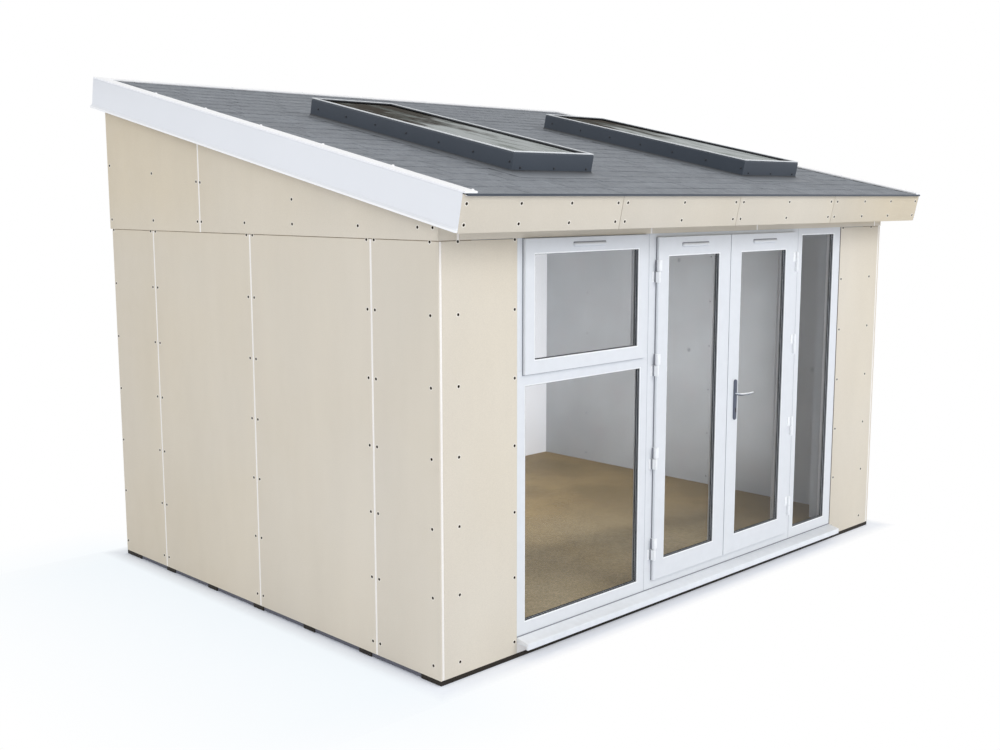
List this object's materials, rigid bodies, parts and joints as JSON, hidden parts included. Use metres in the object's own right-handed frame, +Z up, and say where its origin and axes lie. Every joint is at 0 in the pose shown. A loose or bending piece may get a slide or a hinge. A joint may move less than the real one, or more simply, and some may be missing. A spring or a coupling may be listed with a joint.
{
  "type": "garden office pod",
  "caption": "Pent-roof garden office with smooth board cladding, a glazed front with outward double doors, and sloping rooflights.",
  "frame": {"origin": "on the ground at the centre of the wall footprint, on the underside of the middle bearer", "axes": "+X along the glazed front to the right as seen from outside, +Y to the back, +Z up; the glazed front faces -Y"},
  "size_m": [4.178, 3.3346, 2.9934],
  "materials": {
    "bearer_timber": "dark stained, rough",
    "floor_panel": "rough",
    "floor_board": "matt chipboard",
    "threshold_beam": "satin white face board",
    "wall_panel": "rough board",
    "cladding": "smooth matt fibre-cement board",
    "white_trim": "satin",
    "lining": "matt board",
    "ceiling": "matt board",
    "roof_panel": "rough board",
    "roof_covering": "matt mineral felt",
    "barge_white": "satin white",
    "fascia": "smooth matt fibre-cement board",
    "dark_metal": "satin anthracite",
    "frame_white": "satin white",
    "glass": "clear",
    "chrome": "polished"
  },
  "bodies": {
    "pod": {"ground_bearers": "bearer_timber", "floor_panel": "floor_panel", "floor_board": "floor_board", "threshold_beam": "threshold_beam", "inner_threshold": "floor_panel", "left_wall": "wall_panel", "right_wall": "wall_panel", "back_wall": "wall_panel", "front_posts": "wall_panel", "front_lintel": "wall_panel", "left_cladding": "cladding", "right_cladding": "cladding", "back_cladding": "cladding", "front_cladding": "cladding", "joint_strips": "white_trim", "corner_trims": "white_trim", "wall_linings": "lining", "ceiling_lining": "ceiling", "roof_panels_long": "roof_panel", "roof_panels_short": "roof_panel", "roof_covering": "roof_covering", "bargeboards": "barge_white", "roof_edge_trims": "barge_white", "fascia_boards": "fascia", "back_eave_board": "fascia", "front_soffit": "fascia", "skylight_left_frame": "dark_metal", "skylight_right_frame": "dark_metal", "skylight_glass": "glass", "skylight_flashings": "dark_metal", "window_frame": "frame_white", "window_sash": "frame_white", "window_glass": "glass", "window_vent": "frame_white", "sill": "frame_white", "sidelight_frame": "frame_white", "sidelight_glass": "glass", "door_frame": "frame_white", "door_stops": "frame_white", "frame_hinges": "frame_white"},
    "left_door": {"left_door_leaf": "frame_white", "left_door_glass": "glass", "left_door_vent": "frame_white", "left_door_hinges": "frame_white"},
    "right_door": {"right_door_leaf": "frame_white", "right_door_glass": "glass", "right_door_vent": "frame_white", "right_door_hinges": "frame_white", "handle_plates": "chrome"},
    "handle": {"lever_handle": "chrome"}
  },
  "joints": [
    {"name": "left_door_hinge", "type": "hinge", "parent": "pod", "child": "left_door", "pos_m": [-0.4425, -1.539, 1.1], "axis": [0, 0, -1], "range_deg": [0, 100]},
    {"name": "right_door_hinge", "type": "hinge", "parent": "pod", "child": "right_door", "pos_m": [0.9265, -1.539, 1.1], "axis": [0, 0, 1], "range_deg": [0, 100]},
    {"name": "handle_turn", "type": "hinge", "parent": "right_door", "child": "handle", "pos_m": [0.308, -1.529, 1.127], "axis": [0, 1, 0], "range_deg": [-40, 40], "stiffness_Nm_per_rad": 2, "springref_deg": -8.59}
  ]
}
